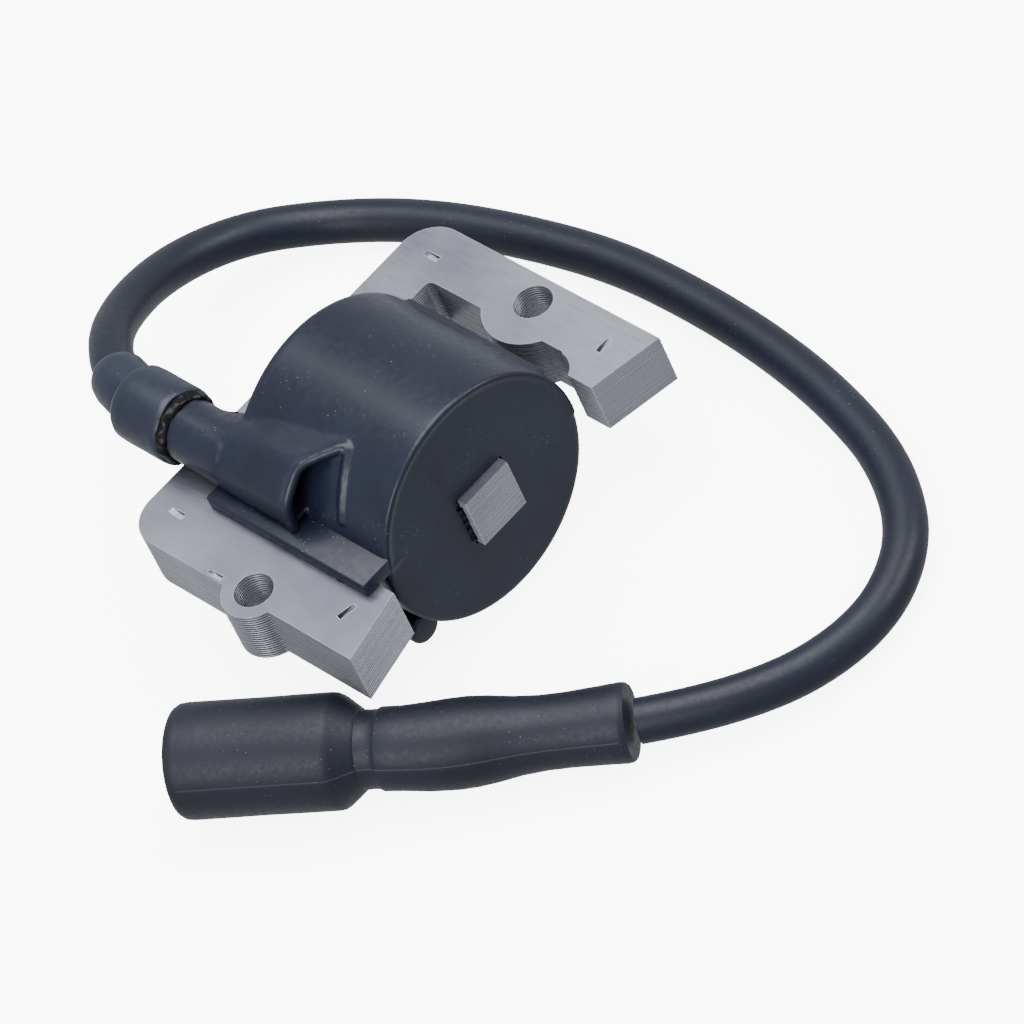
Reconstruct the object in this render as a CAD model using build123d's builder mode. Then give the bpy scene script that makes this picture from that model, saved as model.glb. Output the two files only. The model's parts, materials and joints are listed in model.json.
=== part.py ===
"""Ignition coil for a small engine: an E-shaped laminated core, a potted round coil on its
centre pole, and a high-tension lead that ends in a spark-plug boot.

Frame, in mm: the origin is midway between the two mounting holes, on the underside of the
lamination stack.  +Z runs along the mounting holes, away from the engine.  -Y faces the
flywheel, so the pole faces look along -Y.  +X is the side where the lead's loop lies.
"""
import math
import os

from build123d import *

os.makedirs("parts", exist_ok=True)

# ---------------------------------------------------------------- driving dimensions (mm)
# lamination stack
stack_t = 10.0          # height of the whole stack
lam_t = 0.5             # one lamination
pole_x = 1.75           # the centre pole sits this far from the middle of the holes
pole_w = 9.7
pole_front = -18.85     # flywheel end of the centre pole
yoke_front = 18.5       # back yoke, inner edge
yoke_rear = 28.4        # back yoke, outer edge
corner_r = 6.4          # outer rear corners of the stack
leg_out_p = 37.15       # outer edge of the +X leg
leg_in_p = 24.15        # inner edge of the +X leg at its tip
leg_out_n = -34.4       # outer edge of the -X leg
leg_in_n = -21.4        # inner edge of the -X leg at its tip
window_x = 25.5         # inner edge of each leg beside the coil, measured from the pole
tip_out_y = -23.7       # leg tips, outer corner
tip_in_y = -20.8        # leg tips, inner corner
hole_pitch = 64.9       # between the two mounting holes
hole_r = 3.2
boss_in_r = 8.6         # inward boss round the +X hole
boss_out_r = 5.5        # outward boss round the -X hole
scoop_r = 4.6           # relief beside each leg tip
scoop_y = -11.3
lance_l = 3.0           # interlock lances pressed into the laminations
lance_w = 1.1
lance_h = 0.3

# coil case
coil_x = pole_x - 0.6
coil_z = stack_t / 2 + 1.1
case_r = 20.85
case_wall = 1.6
case_front = -17.2
case_rear = 16.8
rim_r = 0.7             # rounding of the case's front rim
rear_r = 1.3            # rounding of the case's rear rim
fin_deg = 23.0          # low moulded rib along the +X side of the case
fin_h = 1.1
fin_t = 1.2
pole_gap = 0.3          # slot between the pole and the case
tube_wall = 1.2         # square tube round the pole, inside the case

# round rib under the case, on its -X side
rib_deg = 216.2
rib_out = 1.5           # its middle lies this far outside the case
rib_x = coil_x + (case_r + rib_out) * math.cos(math.radians(rib_deg))
rib_z = coil_z + (case_r + rib_out) * math.sin(math.radians(rib_deg))

# ledge that lies on the -X leg, beside the case
ledge_x0 = -24.2
ledge_x1 = -18.4
ledge_h = 2.7
ledge_y0 = -17.7
ledge_y1 = 18.0

# lead tower on top of the ledge side of the case
stub_x = -17.0
stub_z = stack_t + 5.8
stub_r = 5.2
stub_end = 30.0         # rear face of the stub, where the lead starts
hood_cut_y = 0.0        # front of the hood's outer wall
hood_crest_x = -15.95   # the cut runs straight across as far as the crest
hood_cut_deg = 38.0     # and from there sweeps forward to the case
hood_wall = 1.5
hood_depth = 9.0
hood_low = stack_t + 3.6     # underside of the hood, clear of the ledge
hood_top = stack_t + 13.9
blade_l = 6.5           # stop terminal's blade, deep in the hood

# lead, sleeves and boot
lead_r = 3.6
sleeve_r = 6.4
sleeve_y0 = 28.6
sleeve_y1 = 39.8
small_sleeve_r = 4.9
boot_head_r = 9.1
boot_mouth_r = 6.2
boot_head_l = 27.0
boot_bore_l = 14.0      # wide bore that takes the plug's insulator
seat_r = 5.2            # narrower chamber behind it, for the clip's seat
seat_l = 10.0
boot_channel_l = 34.0
clip_in_r = 3.2
clip_out_r = 3.8
clip_y = boot_bore_l    # depth of the clip's near end, from the boot's mouth
clip_tail_r = 2.6
floor_z = coil_z - case_r   # the coil lies on this level when the part is on a table

# winding pack, inside the case
pack_y0 = -13.6
pack_y1 = 5.4
flange_t = 1.2
prim_tube_r = 9.9
wrap_gap = 0.6          # from the primary's wire to the secondary's tube
sec_tube_t = 0.8
prim_part = 0.434       # the primary's part of the room for wire
pot_gap = 1.85          # resin between the secondary bobbin and the case
wire_drop = 0.8         # the secondary wire lies this far below its bobbin's fins
sec_fin_r = case_r - case_wall - pot_gap
sec_wire_r = sec_fin_r - wire_drop
wire_room = sec_wire_r - prim_tube_r - wrap_gap - sec_tube_t
prim_wire_r = prim_tube_r + prim_part * wire_room
sec_tube_r0 = prim_wire_r + wrap_gap
sec_tube_r1 = sec_tube_r0 + sec_tube_t
sec_slots = 6

# ---------------------------------------------------------------- shared shapes
hole_x = hole_pitch / 2


def leg_edge(side):
    """Inner edge of a leg's window, as an x position; side is +1 or -1."""
    return pole_x + side * window_x


with BuildSketch(Plane.XY) as lamination:
    with BuildLine():
        Polyline(
            (leg_out_p, tip_out_y),
            (leg_out_p, yoke_rear),
            (leg_out_n, yoke_rear),
            (leg_out_n, tip_out_y),
            (leg_in_n, tip_in_y),
            (leg_in_n, scoop_y - scoop_r + 0.4),
            (leg_edge(-1), scoop_y),
            (leg_edge(-1), yoke_front),
            (pole_x - pole_w / 2, yoke_front),
            (pole_x - pole_w / 2, pole_front),
            (pole_x + pole_w / 2, pole_front),
            (pole_x + pole_w / 2, yoke_front),
            (leg_edge(1), yoke_front),
            (leg_edge(1), scoop_y),
            (leg_in_p, scoop_y - scoop_r + 0.4),
            (leg_in_p, tip_in_y),
            close=True,
        )
    make_face()
    fillet(lamination.vertices().group_by(Axis.Y)[-1], corner_r)
    window_corners = [
        v for v in lamination.vertices()
        if abs(v.Y - yoke_front) < 0.1 and abs(v.X - pole_x) > window_x - 0.5
    ]
    fillet(window_corners, 1.2)
    # an inward boss round the +X hole, an outward one round the -X hole
    with Locations((hole_x, 0)):
        Circle(boss_in_r)
    with Locations((leg_out_p + 10, 0)):
        Rectangle(20, 40, mode=Mode.SUBTRACT)
    with Locations((-hole_x, 0)):
        Circle(boss_out_r)
    with Locations((leg_in_p - 1.8, scoop_y), (leg_in_n + 1.8, scoop_y)):
        Circle(scoop_r, mode=Mode.SUBTRACT)
    with Locations((hole_x, 0), (-hole_x, 0)):
        Circle(hole_r, mode=Mode.SUBTRACT)


lance_spots = [
    (pole_x + 29.5, 21.8, 0, lance_w, lance_l),
    (pole_x + 29.9, -16.6, 0, lance_l, lance_w),
    (pole_x - 29.5, 22.3, 0, lance_w, lance_l),
    (pole_x - 29.6, -16.5, 0, lance_l, lance_w),
]

# ---------------------------------------------------------------- 1 core
with BuildPart() as core_stack:
    extrude(lamination.sketch.moved(Location((0, 0, lam_t))), amount=stack_t - 2 * lam_t)
core_stack.part.label = "core_stack"
export_step(core_stack.part, "parts/core_stack.step")

with BuildPart() as top_lamination:
    extrude(lamination.sketch.moved(Location((0, 0, stack_t - lam_t))), amount=lam_t)
    for px, py, pz, lx, ly in lance_spots:
        with Locations((px, py, stack_t + lance_h / 2)):
            Box(lx, ly, lance_h)
top_lamination.part.label = "top_lamination"
export_step(top_lamination.part, "parts/top_lamination.step")

with BuildPart() as bottom_lamination:
    extrude(lamination.sketch, amount=lam_t)
bottom_lamination.part.label = "bottom_lamination"
export_step(bottom_lamination.part, "parts/bottom_lamination.step")

# ---------------------------------------------------------------- 2 coil case
tube_in_x = pole_w / 2 + pole_gap
tube_in_z = stack_t / 2 + pole_gap
tube_out_x = tube_in_x + tube_wall
tube_out_z = tube_in_z + tube_wall
face_y = Plane.XZ           # its normal is -Y
case_len = case_rear - case_front
floor_y = case_front + case_wall


def on_y(y, x=0.0, z=0.0):
    """A plane whose normal is +Y, with x along +X, at the given point."""
    return Plane(origin=(x, y, z), x_dir=(1, 0, 0), z_dir=(0, 1, 0))


def hood_section(y, wall=0.0):
    """The hood's arched section at one station along Y, as (x, -z) points on on_y planes."""
    t = (y + 9.0) / 28.0
    out = -22.3 + wall
    low = hood_low
    top = hood_top - 2.6 * t - wall
    return [
        (out, -low),
        (out + 0.4, -(low + 4.6)),
        (-17.3 - 0.9 * t + 0.7 * wall, -(top - 0.3)),
        (-9.6 - 1.0 * t, -(top + 0.6)),
        (-7.0, -(stack_t + 5.0)),
        (-15.0, -low),
    ]


def along(point, direction):
    """A plane at the point whose normal is the direction, with its x level."""
    level = direction.cross(Vector(0, 0, 1))
    return Plane(origin=point, x_dir=level, z_dir=direction)


with BuildPart() as coil_case:
    # the hood of the lead tower, cut off on a slant at the front and hollow behind the cut
    with BuildSketch(on_y(-9.0)):
        with BuildLine():
            Polyline(*hood_section(-9.0), close=True)
        make_face()
    with BuildSketch(on_y(19.0)):
        with BuildLine():
            Polyline(*hood_section(19.0), close=True)
        make_face()
    loft(ruled=True)
    crest = [
        e for e in coil_case.edges()
        if e.length > 20 and e.center().Z > stack_t + 5 and e.center().X < -12
    ]
    fillet(crest, 2.2)
    with BuildSketch(on_y(12.0, stub_x, stub_z)):
        Circle(stub_r)
    extrude(amount=stub_end - 12.0)
    with BuildSketch(on_y(-9.0)):
        with BuildLine():
            Polyline(*hood_section(-9.0, hood_wall), close=True)
        make_face()
    with BuildSketch(on_y(hood_depth)):
        with BuildLine():
            Polyline(*hood_section(hood_depth, hood_wall), close=True)
        make_face()
    loft(ruled=True, mode=Mode.SUBTRACT)
    with BuildSketch(Plane.XY.offset(stack_t)):
        with BuildLine():
            Polyline(
                (hood_crest_x, hood_cut_y),
                (-26.0, hood_cut_y),
                (-26.0, -12.0),
                (-6.0, -12.0),
                (-6.0, hood_cut_y + (hood_crest_x + 6.0) * math.tan(math.radians(hood_cut_deg))),
                close=True,
            )
        make_face()
    extrude(amount=18.0, mode=Mode.SUBTRACT)
    # the round case, which closes the inner side of the hood
    with BuildSketch(on_y(case_front, coil_x, coil_z)):
        Circle(case_r)
    extrude(amount=case_len)
    front_rim = [e for e in coil_case.edges() if abs(e.center().Y - case_front) < 0.01]
    fillet(front_rim, rim_r)
    rear_rim = [
        e for e in coil_case.edges()
        if abs(e.center().Y - case_rear) < 0.01 and e.length > 30
    ]
    fillet(rear_rim, rear_r)
    # low rib along the +X side
    fin_turn = math.radians(fin_deg)
    fin_mid = case_r + fin_h - (fin_h + 1.0) / 2
    fin_at = Location(
        (
            coil_x + fin_mid * math.cos(fin_turn),
            (case_front + case_rear) / 2,
            coil_z + fin_mid * math.sin(fin_turn),
        ),
        (0, -fin_deg, 0),
    )
    with Locations(fin_at):
        Box(fin_h + 1.0, case_len - 2 * (rim_r + rear_r), fin_t)
    # cavity, open at the rear, then the square tube round the pole
    with BuildSketch(on_y(floor_y, coil_x, coil_z)):
        Circle(case_r - case_wall)
    extrude(amount=case_rear - floor_y, mode=Mode.SUBTRACT)
    with BuildSketch(on_y(case_front + 0.2, pole_x, stack_t / 2)):
        Rectangle(2 * tube_out_x, 2 * tube_out_z)
    extrude(amount=case_rear - 1.0 - case_front)
    with BuildSketch(on_y(case_front - 1.0, pole_x, stack_t / 2)):
        Rectangle(2 * tube_in_x, 2 * tube_in_z)
    extrude(amount=case_len + 4.0, mode=Mode.SUBTRACT)
    # channel for the high-tension terminal, from the cavity to the end of the stub
    with BuildSketch(on_y(10.0, stub_x, stub_z)):
        Circle(1.3)
    extrude(amount=stub_end - 10.0, mode=Mode.SUBTRACT)
coil_case.part.label = "coil_case"
print("case solids", len(coil_case.part.solids()), "volume", round(coil_case.part.volume))
export_step(coil_case.part, "parts/coil_case.step")

# ledge moulded beside the case, which lies on the -X leg
with BuildPart() as leg_ledge:
    with BuildSketch(on_y(ledge_y0)):
        with BuildLine():
            Polyline(
                (ledge_x0, -stack_t),
                (ledge_x0, -(stack_t + ledge_h - 0.5)),
                (ledge_x0 + 0.5, -(stack_t + ledge_h)),
                (ledge_x1 + 2.0, -(stack_t + ledge_h)),
                (ledge_x1 + 2.0, -stack_t),
                close=True,
            )
        make_face()
    extrude(amount=ledge_y1 - ledge_y0)
    with BuildSketch(on_y(case_front - 2.0, coil_x, coil_z)):
        Circle(case_r + 0.02)
    extrude(amount=case_len + 6.0, mode=Mode.SUBTRACT)
    with BuildSketch(on_y(11.0, stub_x, stub_z)):
        Circle(stub_r + 0.02)
    extrude(amount=12.0, mode=Mode.SUBTRACT)
leg_ledge.part.label = "leg_ledge"
export_step(leg_ledge.part, "parts/leg_ledge.step")

# rib under the case, beside the -X leg
with BuildPart() as lower_rib:
    with BuildSketch(on_y(-15.8, rib_x, rib_z)):
        Circle(2.8)
    extrude(amount=30.0)
    fillet(lower_rib.edges().group_by(Axis.Y)[0], 1.0)
    with BuildSketch(on_y(case_front - 2.0, coil_x, coil_z)):
        Circle(case_r + 0.02)
    extrude(amount=case_len + 6.0, mode=Mode.SUBTRACT)
lower_rib.part.label = "lower_rib"
export_step(lower_rib.part, "parts/lower_rib.step")

# ---------------------------------------------------------------- 3 winding pack
bore_x = tube_out_x
bore_z = tube_out_z
pack_len = pack_y1 - pack_y0
slot_pitch = (pack_len - flange_t) / sec_slots

with BuildPart() as primary_bobbin:
    with BuildSketch(on_y(pack_y0, pole_x, stack_t / 2)):
        Circle(prim_tube_r)
        Rectangle(2 * bore_x, 2 * bore_z, mode=Mode.SUBTRACT)
    extrude(amount=pack_len)
    for y in (pack_y0, pack_y1 - flange_t):
        with BuildSketch(on_y(y, pole_x, stack_t / 2)):
            Circle(prim_wire_r + 0.2)
            Rectangle(2 * bore_x, 2 * bore_z, mode=Mode.SUBTRACT)
        extrude(amount=flange_t)
primary_bobbin.part.label = "primary_bobbin"
export_step(primary_bobbin.part, "parts/primary_bobbin.step")

with BuildPart() as primary_winding:
    with BuildSketch(on_y(pack_y0 + flange_t, pole_x, stack_t / 2)):
        Circle(prim_wire_r)
        Circle(prim_tube_r, mode=Mode.SUBTRACT)
    extrude(amount=pack_len - 2 * flange_t)
primary_winding.part.label = "primary_winding"
export_step(primary_winding.part, "parts/primary_winding.step")

with BuildPart() as insulation_wrap:
    with BuildSketch(on_y(pack_y0, pole_x, stack_t / 2)):
        Circle(sec_tube_r0)
        Circle(prim_wire_r + 0.2, mode=Mode.SUBTRACT)
    extrude(amount=pack_len)
insulation_wrap.part.label = "insulation_wrap"
export_step(insulation_wrap.part, "parts/insulation_wrap.step")

with BuildPart() as secondary_bobbin:
    with BuildSketch(on_y(pack_y0, pole_x, stack_t / 2)):
        Circle(sec_tube_r1)
        Circle(sec_tube_r0, mode=Mode.SUBTRACT)
    extrude(amount=pack_len)
    for i in range(sec_slots + 1):
        with BuildSketch(on_y(pack_y0 + i * slot_pitch, pole_x, stack_t / 2)):
            Circle(sec_fin_r)
            Circle(sec_tube_r0, mode=Mode.SUBTRACT)
        extrude(amount=flange_t)
secondary_bobbin.part.label = "secondary_bobbin"
export_step(secondary_bobbin.part, "parts/secondary_bobbin.step")

with BuildPart() as secondary_winding:
    for i in range(sec_slots):
        with BuildSketch(on_y(pack_y0 + i * slot_pitch + flange_t, pole_x, stack_t / 2)):
            Circle(sec_wire_r)
            Circle(sec_tube_r1, mode=Mode.SUBTRACT)
        extrude(amount=slot_pitch - flange_t)
secondary_winding.part.label = "secondary_winding"
export_step(secondary_winding.part, "parts/secondary_winding.step")

# ---------------------------------------------------------------- 4 trigger module
board_y = 7.6
board_t = 1.2
board_x = coil_x
board_h = 7.6
board_top = case_r - case_wall - 2.7    # above the middle of the case
board_z = coil_z + board_top - board_h / 2
board_w = 2 * (math.sqrt((case_r - case_wall) ** 2 - board_top ** 2) - 0.28)

with BuildPart() as trigger_board:
    with BuildSketch(on_y(board_y, board_x, board_z)):
        Rectangle(board_w, board_h)
    extrude(amount=board_t)
trigger_board.part.label = "trigger_board"
export_step(trigger_board.part, "parts/trigger_board.step")

part_y = board_y + board_t
with BuildPart() as switching_transistor:
    with Locations((board_x - 5.5, part_y + 1.2, board_z)):
        Box(6.4, 2.4, 6.0)
    fillet(switching_transistor.edges().filter_by(Axis.Y), 0.5)
switching_transistor.part.label = "switching_transistor"
export_step(switching_transistor.part, "parts/switching_transistor.step")

with BuildPart() as module_capacitor:
    with Locations((board_x + 1.6, part_y + 1.5, board_z)):
        Box(5.0, 3.0, 5.6)
    fillet(module_capacitor.edges().filter_by(Axis.X), 0.6)
module_capacitor.part.label = "module_capacitor"
export_step(module_capacitor.part, "parts/module_capacitor.step")

with BuildPart() as module_resistors:
    for dz in (-2.0, 0.8):
        with BuildSketch(Plane(origin=(board_x + 5.2, part_y + 1.0, board_z + dz), z_dir=(1, 0, 0))):
            Circle(1.0)
        extrude(amount=4.4)
module_resistors.part.label = "module_resistors"
export_step(module_resistors.part, "parts/module_resistors.step")

# ---------------------------------------------------------------- 5 terminals
with BuildPart() as ht_terminal:
    with BuildSketch(on_y(11.5, stub_x, stub_z)):
        Circle(1.3)
    extrude(amount=stub_end - 11.5)
ht_terminal.part.label = "ht_terminal"
export_step(ht_terminal.part, "parts/ht_terminal.step")

blade_x = -18.9
blade_z = stub_z + 0.6
with BuildPart() as stop_terminal:
    with Locations((blade_x, hood_depth - blade_l / 2, blade_z)):
        Box(0.8, blade_l, 3.8)
    fillet(stop_terminal.edges().filter_by(Axis.X).group_by(Axis.Y)[0], 1.2)
stop_terminal.part.label = "stop_terminal"
export_step(stop_terminal.part, "parts/stop_terminal.step")

with BuildPart() as ground_strap:
    with Locations((pole_x + 9.0, yoke_front - 0.3, stack_t / 2)):
        Box(5.0, 0.6, 7.0)
    with Locations((pole_x + 9.0, yoke_front - 1.45, stack_t / 2 - 3.2)):
        Box(5.0, 1.7, 0.6)
ground_strap.part.label = "ground_strap"
export_step(ground_strap.part, "parts/ground_strap.step")

# ---------------------------------------------------------------- 6 potting
potting_y1 = case_rear - 0.6
with BuildPart() as potting_fill:
    with BuildSketch(on_y(floor_y, coil_x, coil_z)):
        Circle(case_r - case_wall)
    extrude(amount=potting_y1 - floor_y)
    with BuildSketch(on_y(floor_y, pole_x, stack_t / 2)):
        Rectangle(2 * bore_x, 2 * bore_z)
    extrude(amount=case_len, mode=Mode.SUBTRACT)
    with BuildSketch(on_y(pack_y0, pole_x, stack_t / 2)):
        Circle(sec_fin_r)
    extrude(amount=pack_len, mode=Mode.SUBTRACT)
    with Locations((board_x, board_y + board_t / 2, board_z)):
        Box(board_w, board_t, board_h, mode=Mode.SUBTRACT)
    with Locations((board_x - 5.5, part_y + 1.2, board_z)):
        Box(6.4, 2.4, 6.0, mode=Mode.SUBTRACT)
    with Locations((board_x + 1.6, part_y + 1.5, board_z)):
        Box(5.0, 3.0, 5.6, mode=Mode.SUBTRACT)
    with Locations((board_x + 7.4, part_y + 1.0, board_z - 0.6)):
        Box(4.4, 2.0, 4.8, mode=Mode.SUBTRACT)
    with BuildSketch(on_y(9.5, stub_x, stub_z)):
        Circle(1.6)
    extrude(amount=8.0, mode=Mode.SUBTRACT)
potting_fill.part.label = "potting_fill"
print("potting solids", len(potting_fill.part.solids()))
export_step(potting_fill.part, "parts/potting_fill.step")

# ---------------------------------------------------------------- 7 lead
lead_route = [
    (stub_x, stub_end, stub_z),
    (-17.0, 41.0, 15.8),
    (-13.0, 51.0, 14.2),
    (-4.75, 61.0, 9.5),
    (10.75, 70.0, 0.5),
    (26.25, 70.0, -6.5),
    (38.25, 61.5, -11.0),
    (46.25, 47.0, -11.0),
    (51.75, 29.5, -11.0),
    (55.25, 12.0, -11.0),
    (55.75, -4.5, -11.0),
    (54.75, -22.5, -11.0),
    (51.75, -40.5, -11.0),
    (46.25, -57.5, -11.0),
    (35.75, -71.0, -11.0),
    (19.75, -76.0, -11.0),
    (0.25, -70.0, -9.5),
    (-12.25, -57.5, -8.5),
]
route = [Vector(*p) for p in lead_route]
runs = [(b - a) for a, b in zip(route, route[1:])]
radii = []
for first, second in zip(runs, runs[1:]):
    turn = math.radians(first.get_angle(second))
    radii.append(0.45 * min(first.length, second.length) / math.tan(turn / 2))
print("lead radii", [round(r, 1) for r in radii])
print("lead runs", [round(v.length, 1) for v in runs])

with BuildPart() as lead_sheath:
    with BuildLine() as lead_path:
        FilletPolyline(*lead_route, radius=radii)
    with BuildSketch(Plane(origin=lead_path.line @ 0, z_dir=lead_path.line % 0)):
        Circle(lead_r)
    sweep(path=lead_path.line)
lead_sheath.part.label = "lead_sheath"
lead_len = sum(e.length for e in lead_path.edges())
section = math.pi * lead_r ** 2
print("lead length", round(lead_len, 1), "volume", round(lead_sheath.part.volume, 1))
print("section times length", round(section * lead_len, 1))
export_step(lead_sheath.part, "parts/lead_sheath.step")

# the first stretch of the lead, inside the two sleeves
first_wire = Wire(lead_path.edges().sort_by_distance(route[0])[:4])
ring = Plane(origin=(stub_x, sleeve_y1, stub_z), z_dir=(0, 1, 0))
sleeve_end = Plane(origin=(-14.85, 46.6, 15.0), z_dir=(4.0, 10.0, -1.6))

# shrunk sleeve over the stub and the start of the lead
with BuildPart() as outer_sleeve:
    with BuildSketch(on_y(sleeve_y0, stub_x, stub_z)):
        Circle(sleeve_r)
    extrude(amount=sleeve_y1 - sleeve_y0)
    fillet(outer_sleeve.edges().group_by(Axis.Y)[-1], 1.6)
    with BuildSketch(on_y(sleeve_y0 - 1.0, stub_x, stub_z)):
        Circle(stub_r)
    extrude(amount=stub_end - sleeve_y0 + 1.0, mode=Mode.SUBTRACT)
    with BuildSketch(on_y(stub_end - 0.5, stub_x, stub_z)):
        Circle(lead_r + 0.35)
    extrude(amount=12.0, mode=Mode.SUBTRACT)
outer_sleeve.part.label = "outer_sleeve"
export_step(outer_sleeve.part, "parts/outer_sleeve.step")

# small sleeve shrunk on the lead beyond it, which follows the lead's first bend
with BuildPart() as small_sleeve:
    with BuildSketch(Plane(origin=route[0], z_dir=(0, 1, 0))):
        Circle(small_sleeve_r)
        Circle(lead_r, mode=Mode.SUBTRACT)
    sweep(path=first_wire)
    split(bisect_by=ring, keep=Keep.TOP)
    split(bisect_by=sleeve_end, keep=Keep.BOTTOM)
small_sleeve.part.label = "small_sleeve"
print("small sleeve", small_sleeve.part.bounding_box())
export_step(small_sleeve.part, "parts/small_sleeve.step")

# bead of potting compound squeezed out where the sleeve was cut
with BuildPart() as sealant_bead:
    with BuildSketch(on_y(sleeve_y0 - 1.5, stub_x, stub_z)):
        Circle(stub_r + 0.35)
        Circle(stub_r, mode=Mode.SUBTRACT)
    extrude(amount=1.5)
sealant_bead.part.label = "sealant_bead"
export_step(sealant_bead.part, "parts/sealant_bead.step")

# ---------------------------------------------------------------- 8 spark-plug boot
mouth = Vector(-56.7, -0.1, floor_z + boot_head_r + 0.05)
shoulder = Vector(-42.0, -21.6, floor_z + boot_head_r + 0.1)
tail = route[-1]
head_dir = (shoulder - mouth).normalized()
boot_line = [
    shoulder,
    Vector(-39.5, -24.6, floor_z + 8.5),
    Vector(-28.2, -38.5, floor_z + 7.5),
    Vector(-20.3, -48.2, floor_z + 6.8),
    tail,
]
grip_stations = [0.10, 0.22, 0.38, 0.48, 0.62, 0.76, 0.88, 1.0]
grip_radii = [6.35, 6.5, 7.0, 6.95, 5.9, 5.75, 6.05, 6.2]

with BuildPart() as plug_boot:
    with BuildSketch(along(mouth, head_dir)):
        Circle(boot_head_r)
    extrude(amount=boot_head_l)
    ends = plug_boot.edges().filter_by(GeomType.CIRCLE)
    fillet(ends, 1.0)
    with BuildLine(mode=Mode.PRIVATE) as grip_line:
        Spline(*boot_line, tangents=(head_dir, -(runs[-1].normalized())))
    grip_edge = grip_line.line
    with BuildSketch(along(mouth + head_dir * (boot_head_l - 0.6), head_dir)):
        Circle(boot_head_r - 0.9)
    with BuildSketch(along(grip_edge @ grip_stations[0], grip_edge % grip_stations[0])):
        Circle(grip_radii[0])
    loft(ruled=True)
    for t, r in zip(grip_stations, grip_radii):
        with BuildSketch(along(grip_edge @ t, grip_edge % t)):
            Circle(r)
    loft()
    with BuildSketch(along(mouth - head_dir * 1.0, head_dir)):
        Circle(boot_mouth_r)
    extrude(amount=boot_bore_l + 1.0, mode=Mode.SUBTRACT)
    with BuildSketch(along(mouth, head_dir)):
        Circle(seat_r)
    extrude(amount=boot_bore_l + seat_l, mode=Mode.SUBTRACT)
    with BuildSketch(along(mouth, head_dir)):
        Circle(clip_tail_r)
    extrude(amount=boot_channel_l, mode=Mode.SUBTRACT)
plug_boot.part.label = "plug_boot"
print("boot solids", len(plug_boot.part.solids()), "volume", round(plug_boot.part.volume))
export_step(plug_boot.part, "parts/plug_boot.step")

# spring clip that grips the plug's terminal, with its crimped tail
with BuildPart() as plug_clip:
    with BuildSketch(along(mouth + head_dir * clip_y, head_dir)):
        Circle(clip_out_r)
        Circle(clip_in_r, mode=Mode.SUBTRACT)
        with Locations((4.0, 0)):
            Rectangle(4.0, 2.2, mode=Mode.SUBTRACT)
    extrude(amount=seat_l - 0.6)
    with BuildSketch(along(mouth + head_dir * (clip_y + seat_l - 0.6), head_dir)):
        Circle(clip_out_r)
    extrude(amount=0.6)
    with BuildSketch(along(mouth + head_dir * (clip_y + seat_l), head_dir)):
        Circle(clip_tail_r)
    extrude(amount=boot_channel_l - clip_y - seat_l)
plug_clip.part.label = "plug_clip"
export_step(plug_clip.part, "parts/plug_clip.step")

# seat that holds the clip in the middle of the boot
with BuildPart() as clip_seat:
    with BuildSketch(along(mouth + head_dir * clip_y, head_dir)):
        Circle(seat_r)
        Circle(clip_out_r, mode=Mode.SUBTRACT)
    extrude(amount=seat_l)
clip_seat.part.label = "clip_seat"
export_step(clip_seat.part, "parts/clip_seat.step")
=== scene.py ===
# %% [markdown]
# # Ignition coil with a spark-plug lead
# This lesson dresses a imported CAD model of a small-engine ignition coil. The CAD gives the
# sizes and the places, and each cell here models one visible piece round it: the stack of
# steel laminations, the moulded coil case, the lead and the rubber boot at its end.

# %% The frame
import json
import math

import bpy
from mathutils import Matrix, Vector, noise


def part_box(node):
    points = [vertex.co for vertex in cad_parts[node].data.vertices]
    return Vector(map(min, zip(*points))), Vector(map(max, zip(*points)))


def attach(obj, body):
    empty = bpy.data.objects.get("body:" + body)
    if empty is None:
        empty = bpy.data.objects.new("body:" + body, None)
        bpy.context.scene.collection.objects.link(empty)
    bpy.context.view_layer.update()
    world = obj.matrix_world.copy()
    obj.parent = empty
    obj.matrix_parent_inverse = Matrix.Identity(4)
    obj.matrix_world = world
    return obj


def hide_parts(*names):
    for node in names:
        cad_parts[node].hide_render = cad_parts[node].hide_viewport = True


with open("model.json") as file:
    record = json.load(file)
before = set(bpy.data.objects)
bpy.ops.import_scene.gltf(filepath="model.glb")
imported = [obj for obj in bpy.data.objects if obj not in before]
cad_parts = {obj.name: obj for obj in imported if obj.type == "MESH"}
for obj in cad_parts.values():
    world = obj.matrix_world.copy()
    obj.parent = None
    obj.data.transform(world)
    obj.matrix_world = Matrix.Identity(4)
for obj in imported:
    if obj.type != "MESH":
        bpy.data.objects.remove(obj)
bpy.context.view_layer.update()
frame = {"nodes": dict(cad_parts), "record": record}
MM = 0.001

# %% [markdown]
# A new primitive is selected all over, and an operator acts on everything that is selected.
# The loaded nodes are selected too, so the first helper clears the selection, and the others
# pick faces or edges by where they are, which is what a hand with a mouse would do.

# %% Selection helpers


def deselect_all():
    """Clear the selection in object mode."""
    if bpy.context.mode != "OBJECT":
        bpy.ops.object.mode_set(mode="OBJECT")
    for o in bpy.context.selected_objects:
        o.select_set(False)


def make_active(piece):
    """Select one piece alone and make it the active object."""
    deselect_all()
    bpy.context.view_layer.objects.active = piece
    piece.select_set(True)
    return piece


def settle(piece):
    """Put the object at the origin, unturned, with its place in its mesh."""
    make_active(piece)
    bpy.ops.object.transform_apply(location=True, rotation=True, scale=True)
    return piece


def apply_modifiers(piece):
    """Apply every modifier on the piece, in order."""
    make_active(piece)
    for modifier in list(piece.modifiers):
        bpy.ops.object.modifier_apply(modifier=modifier.name)
    return piece


def smooth_by_angle(piece, degrees=35):
    """Shade smooth, but keep edges sharper than the angle crisp."""
    make_active(piece)
    bpy.ops.object.shade_smooth_by_angle(angle=math.radians(degrees))
    return piece


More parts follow.
